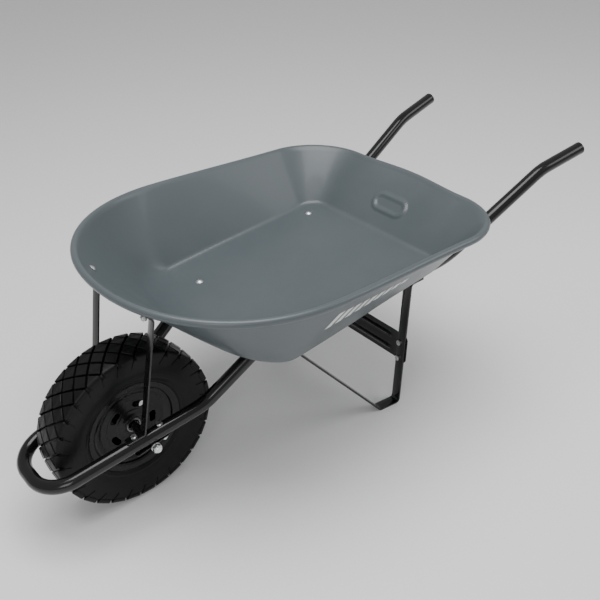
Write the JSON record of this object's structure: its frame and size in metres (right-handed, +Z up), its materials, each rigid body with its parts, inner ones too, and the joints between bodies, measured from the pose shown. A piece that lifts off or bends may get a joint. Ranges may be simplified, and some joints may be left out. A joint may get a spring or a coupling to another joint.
{
  "type": "wheelbarrow",
  "caption": "Single-wheel wheelbarrow with a pressed steel tray on a bent tube frame, flat-bar legs and a pneumatic wheel that turns on its axle.",
  "frame": {"origin": "on the ground under the middle of the whole barrow", "axes": "+X the way the barrow rolls, from the handles to the wheel; +Y its left side; +Z up"},
  "size_m": [1.5098, 0.7328, 0.5881],
  "materials": {
    "tray_paint": "satin grey enamel",
    "rim_wire": "plain drawn wire",
    "frame_paint": "gloss black enamel",
    "cap_plastic": "matte",
    "zinc": "bright zinc plate",
    "wheel_paint": "gloss black enamel",
    "tyre_rubber": "matte rubber",
    "tube_rubber": "matte rubber",
    "bearing_steel": "ground"
  },
  "bodies": {
    "frame": {"axle": "zinc", "axle_nuts": "zinc", "axle_sleeve": "wheel_paint", "axle_washers": "zinc", "brace_bolt_nuts": "zinc", "brace_bolts": "zinc", "bracket_bolt_nuts": "zinc", "bracket_bolts": "zinc", "cross_plate_bolts": "zinc", "cross_plate_nuts": "zinc", "floor_bolt_nuts": "zinc", "floor_bolt_washers": "zinc", "floor_bolts": "zinc", "frame_tube": "frame_paint", "left_axle_bracket": "frame_paint", "left_axle_spacer": "wheel_paint", "left_bearing_inner_ring": "bearing_steel", "left_front_brace": "frame_paint", "left_handle_cap": "cap_plastic", "left_leg": "frame_paint", "leg_cross_plate": "frame_paint", "right_axle_bracket": "frame_paint", "right_axle_spacer": "wheel_paint", "right_bearing_inner_ring": "bearing_steel", "right_front_brace": "frame_paint", "right_handle_cap": "cap_plastic", "right_leg": "frame_paint", "rim_wire": "rim_wire", "tray": "tray_paint"},
    "wheel": {"wheel_hub": "wheel_paint", "wheel_rim": "wheel_paint", "left_wheel_disc": "wheel_paint", "right_wheel_disc": "wheel_paint", "tyre": "tyre_rubber", "inner_tube": "tube_rubber", "valve_stem": "tube_rubber", "valve_cap": "cap_plastic", "left_bearing_outer_ring": "bearing_steel", "right_bearing_outer_ring": "bearing_steel", "left_bearing_balls": "bearing_steel", "right_bearing_balls": "bearing_steel"}
  },
  "joints": [
    {"name": "wheel_spin", "type": "hinge", "parent": "frame", "child": "wheel", "pos_m": [0.5, 0, 0.199], "axis": [0, 1, 0], "continuous": true}
  ]
}
